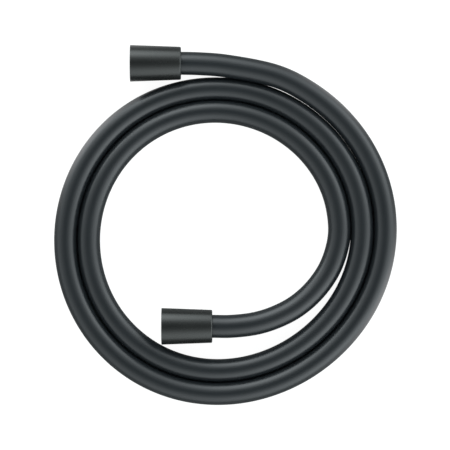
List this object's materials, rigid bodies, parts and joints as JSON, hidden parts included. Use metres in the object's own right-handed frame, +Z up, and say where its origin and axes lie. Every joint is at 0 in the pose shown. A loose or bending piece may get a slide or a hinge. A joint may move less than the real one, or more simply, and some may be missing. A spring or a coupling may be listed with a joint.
{
  "type": "shower hose",
  "caption": "Smooth black shower hose laid in a flat spiral, with a conical union nut that turns freely on each end, its barbed nipple, ferrule and seal inside.",
  "frame": {"origin": "on the floor, under the middle of the coiled hose's bounding box", "axes": "+Z up; both nuts lie along X with their mouths towards -X; the wall end's nut is on the +Y side, outside the coil"},
  "size_m": [0.2184, 0.2294, 0.0234],
  "materials": {
    "hose_plastic": "smooth satin black PVC with faint drawing lines along its length",
    "nut_black": "satin black coating over brass",
    "seal_rubber": "matt moulded rubber",
    "slip_plastic": "plain white slip ring",
    "nipple_brass": "turned, bare",
    "ferrule_steel": "pressed and crimped"
  },
  "bodies": {
    "hose": {"hose_coil": "hose_plastic", "hose_wall_end": "hose_plastic", "hose_handset_end": "hose_plastic", "wall_end_nipple": "nipple_brass", "wall_end_ferrule": "ferrule_steel", "wall_end_sealing_washer": "seal_rubber", "handset_end_nipple": "nipple_brass", "handset_end_ferrule": "ferrule_steel", "handset_end_sealing_washer": "seal_rubber"},
    "wall_end_ring": {"wall_end_slip_ring": "slip_plastic"},
    "wall_end_nut": {"wall_end_union_nut": "nut_black"},
    "handset_end_ring": {"handset_end_slip_ring": "slip_plastic"},
    "handset_end_nut": {"handset_end_union_nut": "nut_black"}
  },
  "joints": [
    {"name": "wall_end_slide", "type": "slide", "parent": "hose", "child": "wall_end_ring", "axis": [1, 0, 0], "range_m": [0, 0.006]},
    {"name": "wall_end_turn", "type": "hinge", "parent": "wall_end_ring", "child": "wall_end_nut", "pos_m": [-0.0445, 0.10304, 0.01168], "axis": [1, 0, 0], "continuous": true},
    {"name": "handset_end_slide", "type": "slide", "parent": "hose", "child": "handset_end_ring", "axis": [1, 0, 0], "range_m": [0, 0.009]},
    {"name": "handset_end_turn", "type": "hinge", "parent": "handset_end_ring", "child": "handset_end_nut", "pos_m": [-0.0245, -0.06462, 0.01168], "axis": [1, 0, 0], "continuous": true}
  ]
}
